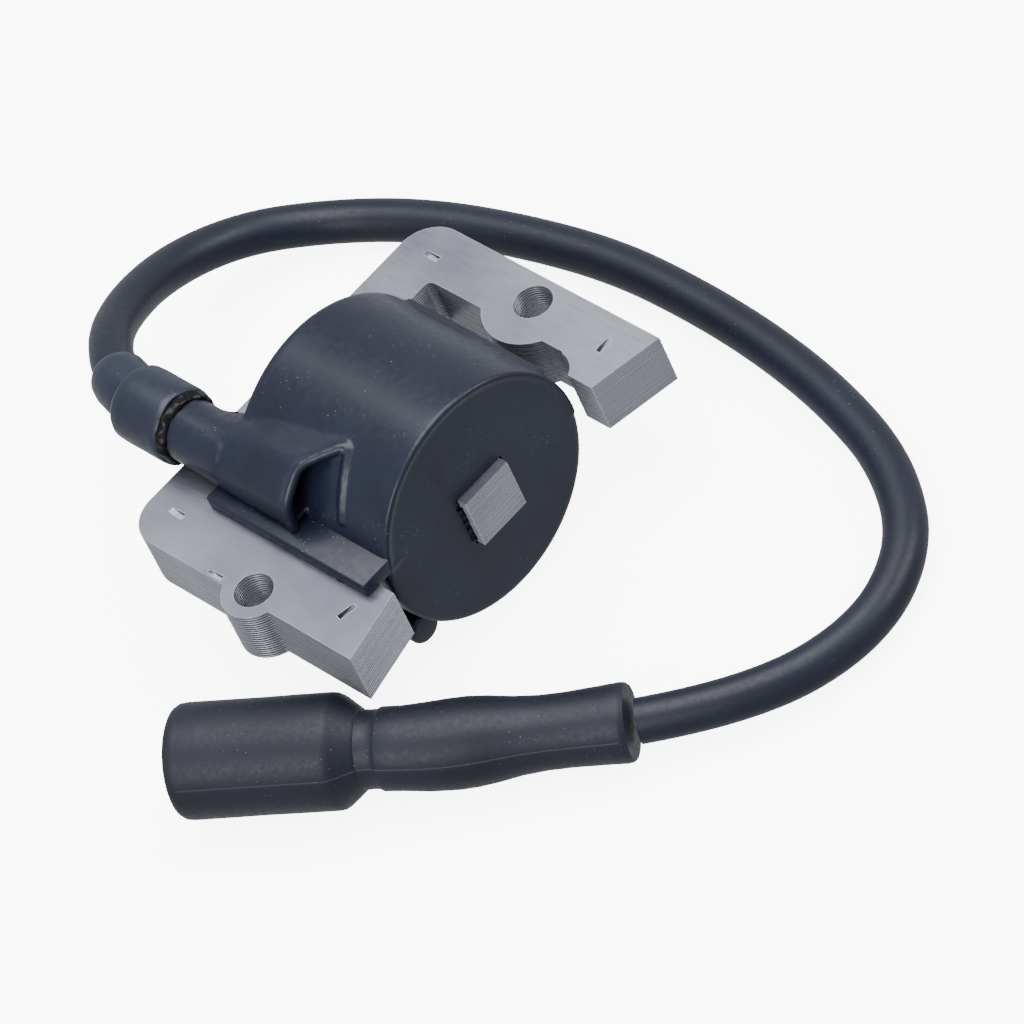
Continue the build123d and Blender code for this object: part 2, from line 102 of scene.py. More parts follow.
def join_pieces(pieces, name):
    """Join several pieces into the first one and give it a name."""
    deselect_all()
    for piece in pieces:
        piece.select_set(True)
    bpy.context.view_layer.objects.active = pieces[0]
    bpy.ops.object.join()
    pieces[0].name = name
    pieces[0].data.name = name
    return pieces[0]


deselect_all()
print("selected", len(bpy.context.selected_objects))

# %% [markdown]
# The camera looks down on the pole faces from the flywheel side with a long lens, so the
# part keeps nearly parallel edges. The camera stands over the -X leg.

# %% Camera
bpy.ops.object.camera_add(
    location=(-0.39351, -0.80183, 0.92465),
    rotation=(math.radians(40.502), math.radians(17.589), math.radians(-46.375)),
)
camera = bpy.context.object
camera.name = "studio_camera"
camera.data.lens = 292.1
camera.data.sensor_width = 36.0
camera.data.clip_end = 10.0
bpy.context.scene.camera = camera
print("camera", [round(v, 3) for v in camera.location])

# %% [markdown]
# The lead is a soft piece: one smooth NURBS curve with round bevel. It leaves the tower's
# stub, drops to the table behind the core, runs round the +X side and comes back to the
# boot. The control points pull the curve without lying on it, as hands would bend a cable.

# %% Lead
LEAD_RADIUS = 3.6
FLOOR = -14.75
lead_route = [
    (-17.0, 30.0, 15.8),
    (-17.0, 41.0, 15.8),
    (-13.0, 51.0, 14.2),
    (-4.75, 61.0, 9.5),
    (10.75, 70.0, 0.5),
    (26.25, 70.0, -6.5),
    (38.25, 61.5, -11.0),
    (46.25, 47.0, -11.0),
    (51.75, 29.5, -11.0),
    (55.25, 12.0, -11.0),
    (55.75, -4.5, -11.0),
    (54.75, -22.5, -11.0),
    (51.75, -40.5, -11.0),
    (46.25, -57.5, -11.0),
    (35.75, -71.0, -11.0),
    (19.75, -76.0, -11.0),
    (0.25, -70.0, -9.5),
    (-12.25, -57.5, -8.5),
]


def nurbs_line(name, points, radius, sides=10):
    """A NURBS curve with a round bevel; points in mm are its control points.

    The radius is on the points and the bevel is one, so that the curve's box is the tube's.
    """
    data = bpy.data.curves.new(name, "CURVE")
    data.dimensions = "3D"
    data.resolution_u = 16
    data.bevel_depth = 1.0
    data.bevel_resolution = sides
    data.use_fill_caps = True
    spline = data.splines.new("NURBS")
    spline.points.add(len(points) - 1)
    for control, place in zip(spline.points, points):
        control.co = (place[0] * MM, place[1] * MM, place[2] * MM, 1.0)
        control.radius = radius * MM
    spline.order_u = 3
    spline.use_endpoint_u = True
    spline.use_smooth = True
    piece = bpy.data.objects.new(name, data)
    bpy.context.collection.objects.link(piece)
    return piece


def centreline(curve_piece):
    """Points along a NURBS curve, read from the curve itself, without its bevel."""
    depth = curve_piece.data.bevel_depth
    curve_piece.data.bevel_depth = 0.0
    mesh = bpy.data.meshes.new_from_object(curve_piece)
    points = [v.co.copy() for v in mesh.vertices]
    bpy.data.meshes.remove(mesh)
    curve_piece.data.bevel_depth = depth
    return points


lead = nurbs_line("spark_lead", lead_route, LEAD_RADIUS)
lead_points = centreline(lead)
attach(lead, "root")
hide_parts("lead_sheath")


# %% [markdown]
# The finishes share a few effects, so each effect is a node group built once. The grain
# group gives small bumps, the dust group gives a mask of pale specks that settle on dark
# plastic, and the edge group gives a mask of the sharp edges, which are lightened partly as
# wear from handling and partly as a painted highlight, the line of light that an edge catches.
# The sheet group darkens the joints between laminations, on the stack's sides only.

# %% Shared effects
EDGE_SPAN = 0.30
SHEET_T = 0.5


def new_group(name, inputs, outputs):
    """An empty shader node group with named float inputs and outputs."""
    group = bpy.data.node_groups.new(name, "ShaderNodeTree")
    for label, value in inputs:
        socket = group.interface.new_socket(label, in_out="INPUT", socket_type="NodeSocketFloat")
        socket.default_value = value
    for label, kind in outputs:
        group.interface.new_socket(label, in_out="OUTPUT", socket_type=kind)
    return group, group.nodes.new("NodeGroupInput"), group.nodes.new("NodeGroupOutput")


def noise_node(nodes, detail=3.0):
    """A noise texture with a set detail."""
    node = nodes.new("ShaderNodeTexNoise")
    node.inputs["Detail"].default_value = detail
    return node


def ramp_node(nodes, low, high, dark=0.0, light=1.0):
    """A map range that turns a low to high stretch into dark to light."""
    node = nodes.new("ShaderNodeMapRange")
    for label, value in zip(("From Min", "From Max", "To Min", "To Max"), (low, high, dark, light)):
        node.inputs[label].default_value = value
    return node


def math_node(nodes, operation, value=0.0):
    """A math node with its second value set."""
    node = nodes.new("ShaderNodeMath")
    node.operation = operation
    node.inputs[1].default_value = value
    return node


grain_group, gi, go = new_group(
    "surface_grain",
    [("Scale", 800.0), ("Stretch", 1.0), ("Depth", 0.2)],
    [("Height", "NodeSocketFloat"), ("Normal", "NodeSocketVector")],
)
coords = grain_group.nodes.new("ShaderNodeTexCoord")
squeeze = grain_group.nodes.new("ShaderNodeCombineXYZ")
squeeze.inputs["X"].default_value = 1.0
squeeze.inputs["Z"].default_value = 1.0
scaled = grain_group.nodes.new("ShaderNodeVectorMath")
scaled.operation = "MULTIPLY"
grain_noise = noise_node(grain_group.nodes)
grain_bump = grain_group.nodes.new("ShaderNodeBump")
grain_bump.inputs["Distance"].default_value = 0.0001
link = grain_group.links.new
link(gi.outputs["Stretch"], squeeze.inputs["Y"])
link(coords.outputs["Object"], scaled.inputs[0])
link(squeeze.outputs["Vector"], scaled.inputs[1])
link(scaled.outputs["Vector"], grain_noise.inputs["Vector"])
link(gi.outputs["Scale"], grain_noise.inputs["Scale"])
link(grain_noise.outputs["Fac"], grain_bump.inputs["Height"])
link(gi.outputs["Depth"], grain_bump.inputs["Strength"])
link(grain_noise.outputs["Fac"], go.inputs["Height"])
link(grain_bump.outputs["Normal"], go.inputs["Normal"])

dust_group, gi, go = new_group(
    "dust_specks", [("Scale", 1050.0), ("Amount", 0.5)], [("Mask", "NodeSocketFloat")]
)
coords = dust_group.nodes.new("ShaderNodeTexCoord")
cells = dust_group.nodes.new("ShaderNodeTexVoronoi")
speck = ramp_node(dust_group.nodes, 0.11, 0.04)
patches = noise_node(dust_group.nodes, 2.0)
patches.inputs["Scale"].default_value = 90.0
sparse = ramp_node(dust_group.nodes, 0.50, 0.62)
both = math_node(dust_group.nodes, "MULTIPLY")
scaled = math_node(dust_group.nodes, "MULTIPLY")
link = dust_group.links.new
link(coords.outputs["Object"], cells.inputs["Vector"])
link(coords.outputs["Object"], patches.inputs["Vector"])
link(gi.outputs["Scale"], cells.inputs["Scale"])
link(cells.outputs["Distance"], speck.inputs["Value"])
link(patches.outputs["Fac"], sparse.inputs["Value"])
link(speck.outputs["Result"], both.inputs[0])
link(sparse.outputs["Result"], both.inputs[1])
link(both.outputs["Value"], scaled.inputs[0])
link(gi.outputs["Amount"], scaled.inputs[1])
link(scaled.outputs["Value"], go.inputs["Mask"])

# The edge mask lightens sharp edges: partly wear from handling, partly a painted highlight, the
# line of light an edge catches.
rub_and_highlight_group, gi, go = new_group("edge_rub_and_highlight", [("Amount", 0.5)], [("Mask", "NodeSocketFloat")])
shape = rub_and_highlight_group.nodes.new("ShaderNodeNewGeometry")
rounded = rub_and_highlight_group.nodes.new("ShaderNodeBevel")
rounded.samples = 6
rounded.inputs["Radius"].default_value = EDGE_SPAN * MM
agree = rub_and_highlight_group.nodes.new("ShaderNodeVectorMath")
agree.operation = "DOT_PRODUCT"
edge = ramp_node(rub_and_highlight_group.nodes, 0.99, 0.86)
rub_and_highlight_amount = math_node(rub_and_highlight_group.nodes, "MULTIPLY")
link = rub_and_highlight_group.links.new
link(shape.outputs["Normal"], agree.inputs[0])
link(rounded.outputs["Normal"], agree.inputs[1])
link(agree.outputs["Value"], edge.inputs["Value"])
link(edge.outputs["Result"], rub_and_highlight_amount.inputs[0])
link(gi.outputs["Amount"], rub_and_highlight_amount.inputs[1])
link(rub_and_highlight_amount.outputs["Value"], go.inputs["Mask"])

sheet_group, gi, go = new_group(
    "sheet_lines", [("Amount", 0.5)], [("Mask", "NodeSocketFloat")]
)
link = sheet_group.links.new
coords = sheet_group.nodes.new("ShaderNodeTexCoord")
height = sheet_group.nodes.new("ShaderNodeSeparateXYZ")
link(coords.outputs["Object"], height.inputs[0])

steps = [
    math_node(sheet_group.nodes, "MULTIPLY", 1 / (SHEET_T * MM)),
    math_node(sheet_group.nodes, "FRACT"),
    math_node(sheet_group.nodes, "SUBTRACT", 0.5),
    math_node(sheet_group.nodes, "ABSOLUTE"),
]
link(height.outputs["Z"], steps[0].inputs[0])
for before, after in zip(steps, steps[1:]):
    link(before.outputs["Value"], after.inputs[0])
near_joint = ramp_node(sheet_group.nodes, 0.30, 0.46)
link(steps[-1].outputs["Value"], near_joint.inputs["Value"])
shape = sheet_group.nodes.new("ShaderNodeNewGeometry")
upright = sheet_group.nodes.new("ShaderNodeSeparateXYZ")
link(shape.outputs["Normal"], upright.inputs[0])
lean = math_node(sheet_group.nodes, "ABSOLUTE")
link(upright.outputs["Z"], lean.inputs[0])
on_side = ramp_node(sheet_group.nodes, 0.95, 0.75)
link(lean.outputs["Value"], on_side.inputs["Value"])
lined = math_node(sheet_group.nodes, "MULTIPLY")
link(near_joint.outputs["Result"], lined.inputs[0])
link(on_side.outputs["Result"], lined.inputs[1])
amount = math_node(sheet_group.nodes, "MULTIPLY")
link(lined.outputs["Value"], amount.inputs[0])
link(gi.outputs["Amount"], amount.inputs[1])
link(amount.outputs["Value"], go.inputs["Mask"])
print("shared groups", [g.name for g in bpy.data.node_groups])

# %% [markdown]
# One helper builds every finish from those effects. Each real surface then differs in its
# two colours, its gloss, the size and stretch of its grain, how dusty it is, and how much its
# edges are lightened, as wear and as painted highlight.

# %% Finishes
DUST_TINT = (0.30, 0.32, 0.37)
JOINT_TINT = (0.012, 0.013, 0.018)
ROUGH_SPREAD = 0.06


def finish(name, dark, light, rough, grain=(800, 1.0, 0.2), dust=0.0, rub_and_highlight=0.0, metal=0.0,
           patch=60.0, rub_and_highlight_colour=(0.5, 0.5, 0.52), spec=0.5, lines=0.0):
    """A procedural material: mottled colour, edges lightened as wear and as painted highlight,
    dust, and a bumped grain.
    """
    material = bpy.data.materials.new(name)
    material.use_nodes = True
    tree = material.node_tree
    nodes, join = tree.nodes, tree.links.new
    shader = nodes["Principled BSDF"]
    shader.inputs["Metallic"].default_value = metal
    shader.inputs["Specular IOR Level"].default_value = spec
    place = nodes.new("ShaderNodeTexCoord")
    mottle = noise_node(nodes, 4.0)
    mottle.inputs["Scale"].default_value = patch
    join(place.outputs["Object"], mottle.inputs["Vector"])
    spread = ramp_node(nodes, 0.35, 0.65)
    join(mottle.outputs["Fac"], spread.inputs["Value"])
    colour = nodes.new("ShaderNodeMix")
    colour.data_type = "RGBA"
    colour.inputs["A"].default_value = (*dark, 1)
    colour.inputs["B"].default_value = (*light, 1)
    join(spread.outputs["Result"], colour.inputs["Factor"])
    last = colour.outputs["Result"]
    # Sharp edges are lightened here: partly wear, partly a painted highlight along each edge.
    layers = (
        ("edge_rub_and_highlight", rub_and_highlight, rub_and_highlight_colour),
        ("sheet_lines", lines, JOINT_TINT),
        ("dust_specks", dust, DUST_TINT),
    )
    for kind, amount, tint in layers:
        if not amount:
            continue
        effect = nodes.new("ShaderNodeGroup")
        effect.node_tree = bpy.data.node_groups[kind]
        effect.inputs["Amount"].default_value = amount
        over = nodes.new("ShaderNodeMix")
        over.data_type = "RGBA"
        over.inputs["B"].default_value = (*tint, 1)
        join(effect.outputs["Mask"], over.inputs["Factor"])
        join(last, over.inputs["A"])
        last = over.outputs["Result"]
    join(last, shader.inputs["Base Color"])
    skin = nodes.new("ShaderNodeGroup")
    skin.node_tree = grain_group
    for label, value in zip(("Scale", "Stretch", "Depth"), grain):
        skin.inputs[label].default_value = value
    gloss = ramp_node(nodes, 0.3, 0.7, rough - ROUGH_SPREAD, rough + ROUGH_SPREAD)
    join(skin.outputs["Height"], gloss.inputs["Value"])
    join(gloss.outputs["Result"], shader.inputs["Roughness"])
    join(skin.outputs["Normal"], shader.inputs["Normal"])
    return material


# A lighter edge colour on a finish is partly wear and partly a painted edge highlight.
finishes = {
    # The steel's near-white edge colour paints the bright highlight line along punched edges and
    # hole rims, with some bare steel rubbed clean.
    "lamination_steel": finish(
        "rolled_steel", (0.115, 0.12, 0.145), (0.19, 0.195, 0.225), 0.40, (1500, 0.12, 0.16),
        dust=0.3, rub_and_highlight=0.6, metal=0.8, patch=45.0, rub_and_highlight_colour=(0.62, 0.63, 0.66), lines=0.85),
    "case_plastic": finish(
        "moulded_case", (0.0042, 0.0056, 0.0130), (0.0072, 0.0095, 0.0200), 0.34, (900, 1.0, 0.07),
        dust=0.5, rub_and_highlight=0.25, rub_and_highlight_colour=(0.03, 0.035, 0.05), spec=0.26),
    "potting_resin": finish(
        "potting_resin", (0.006, 0.007, 0.010), (0.014, 0.015, 0.022), 0.20, (300, 1.0, 0.25),
        dust=0.3),
    "bobbin_plastic": finish("bobbin_plastic", (0.50, 0.47, 0.38), (0.60, 0.57, 0.48), 0.5),
    "copper_wire": finish(
        "enamelled_copper", (0.45, 0.17, 0.07), (0.62, 0.27, 0.12), 0.3, (2500, 6.0, 0.6),
        metal=0.8),
    "insulating_film": finish("insulating_film", (0.55, 0.48, 0.22), (0.66, 0.60, 0.34), 0.35),
    "board": finish("board_green", (0.04, 0.16, 0.06), (0.06, 0.22, 0.09), 0.45),
    "component_black": finish("component_black", (0.015, 0.015, 0.016), (0.03, 0.03, 0.032), 0.5),
    "terminal_brass": finish(
        "terminal_brass", (0.30, 0.22, 0.10), (0.42, 0.33, 0.17), 0.4, (1500, 0.2, 0.15),
        metal=1.0),
    "lead_rubber": finish(
        "lead_jacket", (0.0032, 0.0045, 0.0105), (0.0055, 0.0072, 0.0155), 0.44, (1400, 1.0, 0.10),
        dust=0.3, spec=0.24),
    "sleeve_film": finish(
        "shrunk_sleeve", (0.0055, 0.0080, 0.0170), (0.0090, 0.0125, 0.0250), 0.40,
        (700, 1.0, 0.14), dust=0.6, rub_and_highlight=0.3, rub_and_highlight_colour=(0.05, 0.06, 0.08), spec=0.30),
    "sealant": finish("squeezed_sealant", (0.0010, 0.0010, 0.0014), (0.0024, 0.0024, 0.003), 0.30,
                      (900, 1.0, 0.2), spec=0.14),
    "boot_rubber": finish(
        "boot_rubber", (0.0035, 0.0045, 0.0090), (0.0062, 0.0076, 0.0140), 0.50, (1300, 1.0, 0.14),
        dust=0.3, rub_and_highlight=0.35, rub_and_highlight_colour=(0.03, 0.036, 0.055), spec=0.24),
    "clip_steel": finish("clip_steel", (0.40, 0.40, 0.41), (0.58, 0.58, 0.60), 0.3,
                         (1500, 0.2, 0.15), metal=1.0),
}


def dress(piece, slot):
    """Give a piece the finish of its material slot, in place of any it has."""
    piece.data.materials.clear()
    piece.data.materials.append(finishes[slot])
    return piece


node_slots = {p["node"]: p["material_slot"] for p in frame["record"]["subparts"]}
for node_name, slot_name in node_slots.items():
    node = frame["nodes"][node_name]
    for place in node.material_slots:
        place.material = finishes[slot_name]
dress(lead, "lead_rubber")
print("finishes", len(finishes), "CAD nodes dressed", len(node_slots))

# %% [markdown]
# The core is twenty punched steel sheets, riveted by small lances. Sheets that are never
# quite in line are what give the real stack its fine lines, so one sheet is modelled from
# the CAD's bottom lamination and copied, and each copy is moved by a few hundredths of a mm.

# %% Core laminations
SHEET_COUNT = 20
SHEET_BEVEL = 0.09
sheet_shift = [
    (0.01, -0.01), (-0.02, 0.01), (0.01, 0.02), (-0.01, -0.02), (0.02, 0.01), (-0.01, 0.01),
    (0.01, 0.02), (-0.02, -0.01), (0.01, -0.02), (0.02, 0.01), (-0.01, 0.01), (0.01, -0.01),
]


def copy_node(node_name, name):
    """A merged copy of a CAD node's mesh, as a new piece that can be worked on."""
    source = frame["nodes"][node_name]
    piece = bpy.data.objects.new(name, source.data.copy())
    bpy.context.collection.objects.link(piece)
    make_active(piece)
    bpy.ops.object.mode_set(mode="EDIT")
    bpy.ops.mesh.select_all(action="SELECT")
    bpy.ops.mesh.remove_doubles(threshold=0.000002)
    bpy.ops.mesh.dissolve_limited(angle_limit=math.radians(0.5))
    bpy.ops.object.mode_set(mode="OBJECT")
    return piece


sheet = copy_node("bottom_lamination", "core_sheet")
softened = sheet.modifiers.new("rounded_edge", "BEVEL")
softened.width = SHEET_BEVEL * MM
softened.segments = 1
softened.limit_method = "ANGLE"
softened.angle_limit = math.radians(50)
apply_modifiers(sheet)
sheets = [sheet]
for level in range(1, SHEET_COUNT):
    copy = bpy.data.objects.new("core_sheet", sheet.data.copy())
    bpy.context.collection.objects.link(copy)
    dx, dy = sheet_shift[level % len(sheet_shift)]
    copy.location = (dx * MM, dy * MM, level * SHEET_T * MM)
    settle(copy)
    sheets.append(copy)
print("sheets", len(sheets), "faces each", len(sheet.data.polygons))

# %% [markdown]
# A lance is a tab that the press has pushed down out of the sheet, so its mark is a narrow
# wedge, deep at one end and level with the surface at the other. A tapered cutter is taken
# out of the top three sheets, and its slope is left as the floor of the mark.

# %% Lance marks
LANCE_DEPTH = 1.1
LANCE_TAPER = 0.35
LANCE_SHEETS = 3
STACK_TOP = SHEET_T * SHEET_COUNT
lance_marks = [
    # x, y, length, width, turn in degrees
    (31.25, 21.8, 3.0, 1.3, 90),
    (31.65, -16.6, 3.0, 1.3, 0),
    (-27.75, 22.3, 3.0, 1.3, 90),
    (-27.85, -16.5, 3.2, 1.3, -12),
    (-33.4, 7.8, 3.0, 1.0, 90),
]


def lance_cutter(x, y, length, width, turn):
    """A wedge whose deep end is cut down through the top sheets."""
    bpy.ops.mesh.primitive_cube_add(size=1.0, location=(0, 0, 0))
    cutter = bpy.context.object
    cutter.scale = (length * MM, width * MM, 2 * LANCE_DEPTH * MM)
    cutter.location = (x * MM, y * MM, STACK_TOP * MM)
    cutter.rotation_euler = (0, 0, math.radians(turn))
    settle(cutter)
    ahead = Vector((math.cos(math.radians(turn)), math.sin(math.radians(turn)), 0))
    centre = Vector((x, y, STACK_TOP)) * MM
    for corner in cutter.data.vertices:
        if corner.co.z < centre.z and (corner.co - centre).dot(ahead) > 0:
            corner.co.z = centre.z - 0.0001
        if corner.co.z < centre.z:
            side = (corner.co - centre) - ahead * (corner.co - centre).dot(ahead)
            corner.co -= Vector((side.x, side.y, 0)) * LANCE_TAPER
    return cutter


def cut_away(piece, cutter):
    """Subtract a cutter from a piece and remove the cutter."""
    cut = piece.modifiers.new("cut", "BOOLEAN")
    cut.operation = "DIFFERENCE"
    cut.solver = "EXACT"
    cut.object = cutter
    apply_modifiers(piece)
    bpy.data.objects.remove(cutter)
    return piece


for mark in lance_marks:
    for top_sheet in sheets[-LANCE_SHEETS:]:
        cut_away(top_sheet, lance_cutter(*mark))
laminations = join_pieces(sheets, "core_laminations")
smooth_by_angle(laminations, 30)
dress(laminations, "lamination_steel")
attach(laminations, "root")
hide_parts("core_stack", "top_lamination", "bottom_lamination")
print("core faces", len(laminations.data.polygons))

# %% [markdown]
# The case is one moulding: a drum round the pole, and on its shoulder a hooded tower that
# the lead comes out of. The drum and the tower run into each other without a line, so both
# are joined, remeshed into one even skin and smoothed, and the sharp cuts come after that.

# %% Case drum
CASE_X, CASE_Z = 1.15, 6.1
CASE_R = 20.85
CASE_FRONT, CASE_REAR = -17.2, 16.8
POLE_X, POLE_Z = 1.75, 5.0
STUB = (-17.0, 15.8)
STUB_R = 5.2


def drum(name, radius, y0, y1, x, z, sides=128):
    """A closed cylinder along Y between two stations."""
    bpy.ops.mesh.primitive_cylinder_add(
        vertices=sides, radius=radius * MM, depth=(y1 - y0) * MM,
        location=(x * MM, (y0 + y1) / 2 * MM, z * MM), rotation=(math.pi / 2, 0, 0),
    )
    piece = bpy.context.object
    piece.name = name
    return settle(piece)


def pick_edges(piece, wanted):
    """Select, in edit mode, the edges whose two ends both pass the test."""
    make_active(piece)
    bpy.ops.object.mode_set(mode="EDIT")
    bpy.ops.mesh.select_mode(type="EDGE")
    bpy.ops.mesh.select_all(action="DESELECT")
    bpy.ops.object.mode_set(mode="OBJECT")
    for edge in piece.data.edges:
        edge.select = all(wanted(piece.data.vertices[i].co) for i in edge.vertices)
    bpy.ops.object.mode_set(mode="EDIT")


case = drum("coil_case_skin", CASE_R, CASE_FRONT, CASE_REAR, CASE_X, CASE_Z)
for station, width in ((CASE_FRONT, 0.8), (CASE_REAR, 1.2)):
    pick_edges(case, lambda co: abs(co.y - station * MM) < 1e-6)
    bpy.ops.mesh.bevel(offset=width * MM, segments=4, affect="EDGES")
    bpy.ops.object.mode_set(mode="OBJECT")
print("drum faces", len(case.data.polygons))

# %% [markdown]
# The tower's hood is an arch that gets lower towards the rear, where it turns into the
# round stub. Its outline is drawn once as a ring of points at each station, and the rings
# are bridged, in the way that a mould maker lays out sections along a part.

# %% Tower hood
HOOD_FRONT, HOOD_REAR = -9.5, 24.0
HOOD_SLOPE = 0.1
BLEND_FROM, BLEND_LENGTH = 8.0, 16.0
CORNER_STEPS = 6


def hood_ring(y, shrink=0.0):
    """The hood's rounded outline at station y, in mm; shrink makes the hollow's outline."""
    back = min(max((y - BLEND_FROM) / BLEND_LENGTH, 0.0), 1.0)
    ease = back * back * (3 - 2 * back)
    drop = HOOD_SLOPE * (y - HOOD_FRONT)
    corners = [
        (-22.3, 13.5, 0.6),
        (-21.9, 18.4 - 0.2 * drop, 2.6),
        (-16.4, 23.7 - 0.6 * drop, 1.7),
        (-7.5, 25.0 - drop, 0.5),
        (-7.0, 13.5, 0.5),
    ]
    ring = []
    count = len(corners)
    for k, (cx, cz, r) in enumerate(corners):
        here = Vector((cx, cz))
        before = Vector(corners[k - 1][:2])
        after = Vector(corners[(k + 1) % count][:2])
        a = here + (before - here).normalized() * r
        b = here + (after - here).normalized() * r
        for step in range(CORNER_STEPS + 1):
            t = step / CORNER_STEPS
            ring.append((1 - t) ** 2 * a + 2 * t * (1 - t) * here + t * t * b)
    centre = Vector((STUB[0] + 0.6, STUB[1] + 1.5))
    shaped = []
    for p in ring:
        angle = math.atan2(p.y - STUB[1], p.x - STUB[0])
        round_p = Vector((STUB[0] + STUB_R * math.cos(angle), STUB[1] + STUB_R * math.sin(angle)))
        q = p.lerp(round_p, ease)
        if shrink:
            q = q + (centre - q).normalized() * shrink
        shaped.append((q.x * MM, y * MM, q.y * MM))
    return shaped


def bridged_rings(name, rings):
    """A closed skin through rings with equal counts of points."""
    mesh = bpy.data.meshes.new(name)
    count = len(rings[0])
    points = [p for ring in rings for p in ring]
    faces = []
    for k in range(len(rings) - 1):
        for i in range(count):
            j = (i + 1) % count
            faces.append((k * count + i, k * count + j, (k + 1) * count + j, (k + 1) * count + i))
    faces.append(tuple(range(count)))
    faces.append(tuple(range((len(rings) - 1) * count, len(rings) * count)))
    mesh.from_pydata(points, [], faces)
    piece = bpy.data.objects.new(name, mesh)
    bpy.context.collection.objects.link(piece)
    make_active(piece)
    bpy.ops.object.mode_set(mode="EDIT")
    bpy.ops.mesh.select_all(action="SELECT")
    bpy.ops.mesh.normals_make_consistent(inside=False)
    bpy.ops.object.mode_set(mode="OBJECT")
    return piece


def merge_in(piece, other):
    """Union another closed piece into this one."""
    union = piece.modifiers.new("merge", "BOOLEAN")
    union.operation = "UNION"
    union.solver = "EXACT"
    union.object = other
    apply_modifiers(piece)
    bpy.data.objects.remove(other)
    return piece


HOOD_SPANS = 24
hood_stations = [
    HOOD_FRONT + (HOOD_REAR - HOOD_FRONT) * k / HOOD_SPANS for k in range(HOOD_SPANS + 1)
]
hood = bridged_rings("tower_hood", [hood_ring(y) for y in hood_stations])
stub = drum("tower_stub", STUB_R, 16.0, 30.0, *STUB, sides=96)
merge_in(hood, stub)
# in plan the opening runs straight across to the crest and then sweeps forward to the drum
sweep_plan = [(-15.95, 0.0), (-27.0, 0.0), (-27.0, -14.0), (-6.0, -14.0), (-6.0, -7.8)]
front_cut = bridged_rings(
    "front_cut", [[(x * MM, y * MM, z * MM) for x, y in sweep_plan] for z in (8.0, 30.0)]
)
cut_away(hood, front_cut)
print("tower faces", len(hood.data.polygons))

# %% [markdown]
# The hood is hollow behind its slanted opening, where the stop wire goes in. The hollow is
# the same outline drawn smaller. A low bead on the drum carries the lip's line round, so the
# opening looks as though it were pressed into the skin.

# %% Tower hollow
HOOD_WALL = 1.7
hollow = bridged_rings(
    "hood_hollow", [hood_ring(y, HOOD_WALL) for y in (HOOD_FRONT - 1, -4.0, 0.0, 4.0, 8.0)]
)
cut_away(hood, hollow)
merge_in(case, hood)


def bead(name, points, radius):
    """A round bead along a few points, as a closed mesh."""
    curve = nurbs_line(name, points, radius, sides=4)
    make_active(curve)
    bpy.ops.object.convert(target="MESH")
    return bpy.context.object


HOOD_LIP_R, OPENING_LIP_R, RIM_R, HOOK_R, RIB_R = 0.95, 0.55, 0.6, 0.55, 0.7
hood_lip = [
    (-21.6, 0.2, 12.8), (-21.5, 0.1, 15.6), (-21.2, 0.0, 18.2), (-19.2, 0.0, 20.3),
    (-16.6, 0.0, 22.5), (-14.6, -1.1, 22.9), (-12.2, -3.2, 23.4), (-9.9, -5.2, 23.8),
    (-9.2, -6.2, 22.9),
]
beads = [bead("hood_lip", hood_lip, HOOD_LIP_R)]
lip_line = []
for degrees in range(122, 157, 3):
    turn = math.radians(degrees)
    radius = CASE_R + 0.1
    front = -5.6 - 2.2 * math.sin(math.radians((degrees - 119) * 2.2))
    lip_line.append((CASE_X + radius * math.cos(turn), front, CASE_Z + radius * math.sin(turn)))
beads.append(bead("opening_lip", lip_line, OPENING_LIP_R))

rim_line = []
for degrees in range(-4, 169, 4):
    turn = math.radians(degrees)
    fade = 0.35 * max(0.0, (degrees - 120) / 48) ** 2
    radius = CASE_R - 0.55 - fade
    rim_line.append(
        (CASE_X + radius * math.cos(turn), CASE_FRONT + 0.25, CASE_Z + radius * math.sin(turn))
    )
beads.append(bead("front_rim", rim_line, RIM_R))
rim_hook = [
    (-18.6, CASE_FRONT + 0.25, 10.2), (-16.6, CASE_FRONT + 0.35, 10.2),
    (-14.4, CASE_FRONT + 0.6, 10.0),
]
beads.append(bead("rim_hook", rim_hook, HOOK_R))
RIB_TURN = math.radians(23)
rib_radius = CASE_R + 0.1
rib_line = [
    (CASE_X + rib_radius * math.cos(RIB_TURN), y, CASE_Z + rib_radius * math.sin(RIB_TURN))
    for y in (CASE_FRONT + 2, -6.0, 6.0, CASE_REAR - 2)
]
beads.append(bead("side_rib", rib_line, RIB_R))
# the beads only overlap the skin here, and the remesh melts them into it
case = join_pieces([case] + beads, "coil_case_skin")

VOXEL = 0.36
remesh = case.modifiers.new("even_skin", "REMESH")
remesh.mode = "VOXEL"
remesh.voxel_size = VOXEL * MM
settled = case.modifiers.new("soft_blends", "SMOOTH")
settled.factor = 0.5
settled.iterations = 5
apply_modifiers(case)


def box_of(piece):
    """The lowest and highest corner of a piece's own points, in mm."""
    places = [[v.co[k] / MM for v in piece.data.vertices] for k in range(3)]
    return [round(min(p), 1) for p in places], [round(max(p), 1) for p in places]


case_low, case_high = box_of(case)
if case_high[0] - case_low[0] < 2 * CASE_R or case_high[1] < HOOD_REAR:
    raise RuntimeError(f"the case skin was lost: {case_low} {case_high}")
print("case faces", len(case.data.polygons), "box", case_low, case_high)

# %% [markdown]
# The square hole for the pole and the shallow pan for the potting stay crisp, so they are
# cut last. The pole is a loose fit, which is why a dark gap shows round it.

# %% Case openings
POLE_HOLE_X, POLE_HOLE_Z = 10.3, 10.6


def block(name, low, high):
    """A box between two corners, in mm."""
    bpy.ops.mesh.primitive_cube_add(size=1.0)
    piece = bpy.context.object
    piece.name = name
    piece.scale = [(b - a) * MM for a, b in zip(low, high)]
    piece.location = [(a + b) / 2 * MM for a, b in zip(low, high)]
    return settle(piece)


